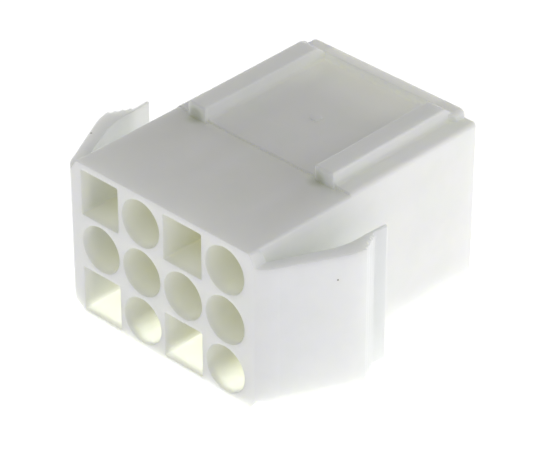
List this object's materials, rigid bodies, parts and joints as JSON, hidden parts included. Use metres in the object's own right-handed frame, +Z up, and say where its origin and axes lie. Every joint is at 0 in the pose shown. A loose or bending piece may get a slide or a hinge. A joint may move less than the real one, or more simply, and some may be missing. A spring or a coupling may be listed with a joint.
{
  "type": "wire to board connector housing",
  "caption": "Panel mount nylon plug housing with keyed round and square contact ways, two spring ears at its sides and a raised stop frame on top.",
  "frame": {"origin": "middle of the pattern of contact ways, on the mating face", "axes": "+X across the housing to the right as one looks at the mating face, +Y from the mating face to the wire side, +Z up towards the raised frame"},
  "size_m": [0.028, 0.0255, 0.0157],
  "materials": {
    "natural_nylon": "satin, slightly translucent"
  },
  "bodies": {
    "root": {"housing": "natural_nylon"}
  },
  "joints": []
}
